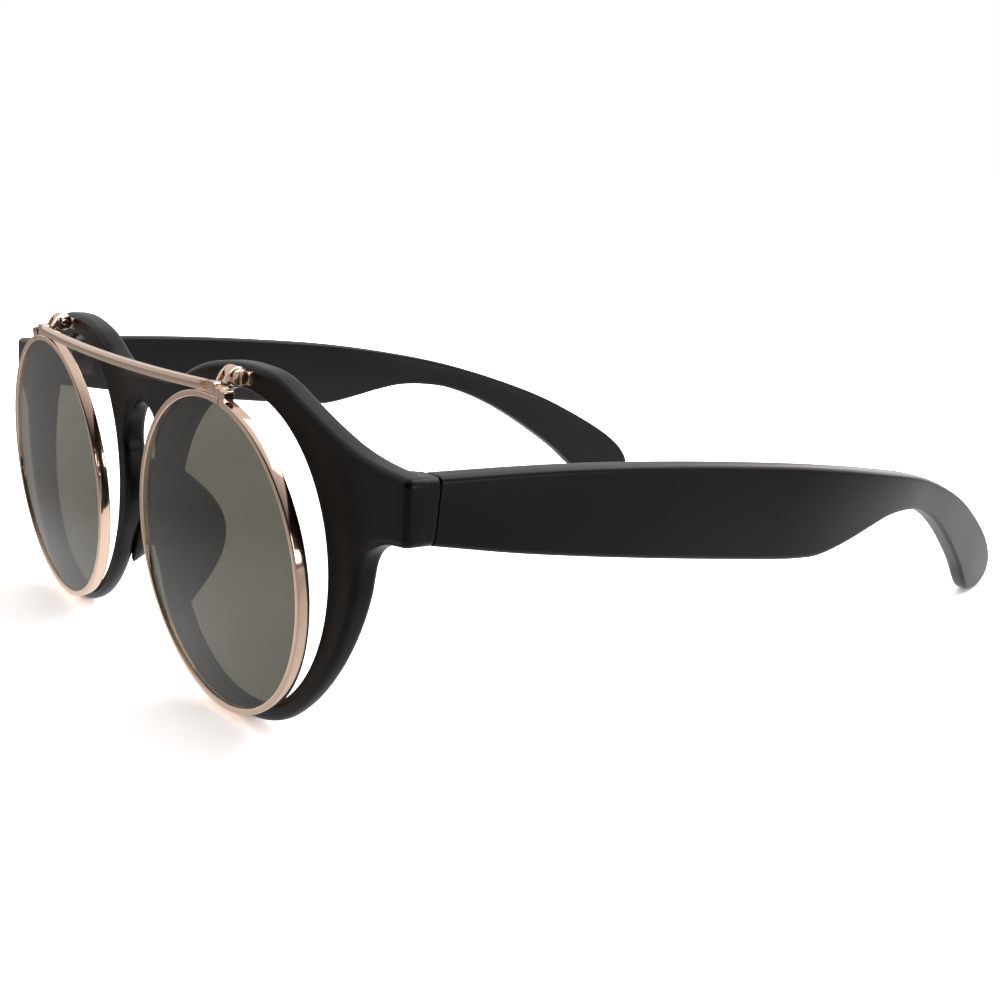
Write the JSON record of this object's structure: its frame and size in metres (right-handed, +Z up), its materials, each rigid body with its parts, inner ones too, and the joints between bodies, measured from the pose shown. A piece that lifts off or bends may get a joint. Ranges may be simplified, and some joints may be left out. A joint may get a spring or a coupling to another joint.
{
  "type": "flip up sunglasses",
  "caption": "Round glasses with a thick plastic front and clear lenses, folding temples, and a metal front of tinted lenses that flips up on screwed hinges above the rims.",
  "frame": {"origin": "centre of the bounding box's bottom face, with the glasses standing on their rims and temple tips, temples open and the metal front down", "axes": "+X towards the wearer's left temple, +Y from the front back along the temples, +Z up"},
  "size_m": [0.155, 0.164, 0.0526],
  "materials": {
    "frame_plastic": "moulded black plastic, satin",
    "clear_lens": "clear, polished",
    "tinted_lens": "grey green tint, polished",
    "rose_gold": "polished rose gold plating",
    "hinge_steel": "plain steel"
  },
  "bodies": {
    "front": {"front_frame": "frame_plastic", "clear_lens_right": "clear_lens", "clear_lens_left": "clear_lens", "frame_hinge_leaf_right": "hinge_steel", "frame_hinge_leaf_left": "hinge_steel", "hinge_screw_right": "hinge_steel", "hinge_screw_left": "hinge_steel", "flip_hinge_base_right": "rose_gold", "flip_hinge_base_left": "rose_gold"},
    "temple_right": {"temple_right": "frame_plastic", "temple_hinge_leaf_right": "hinge_steel"},
    "temple_left": {"temple_left": "frame_plastic", "temple_hinge_leaf_left": "hinge_steel"},
    "flip_front": {"flip_rim_right": "rose_gold", "flip_rim_left": "rose_gold", "flip_lens_right": "tinted_lens", "flip_lens_left": "tinted_lens", "brow_bar": "rose_gold", "flip_arm_right": "rose_gold", "flip_arm_left": "rose_gold", "flip_pivot_screw_right": "rose_gold", "flip_pivot_screw_left": "rose_gold", "rim_lock_screw_right": "hinge_steel", "rim_lock_screw_left": "hinge_steel"}
  },
  "joints": [
    {"name": "temple_fold_right", "type": "hinge", "parent": "front", "child": "temple_right", "pos_m": [-0.067, -0.06785, 0.03867], "axis": [0, -0.0495, -0.9988], "range_deg": [0, 86]},
    {"name": "temple_fold_left", "type": "hinge", "parent": "front", "child": "temple_left", "pos_m": [0.067, -0.06785, 0.03867], "axis": [0, 0.0495, 0.9988], "range_deg": [0, 71]},
    {"name": "flip_up", "type": "hinge", "parent": "front", "child": "flip_front", "pos_m": [0, -0.0764, 0.05111], "axis": [-1, 0, 0], "range_deg": [0, 100]}
  ]
}
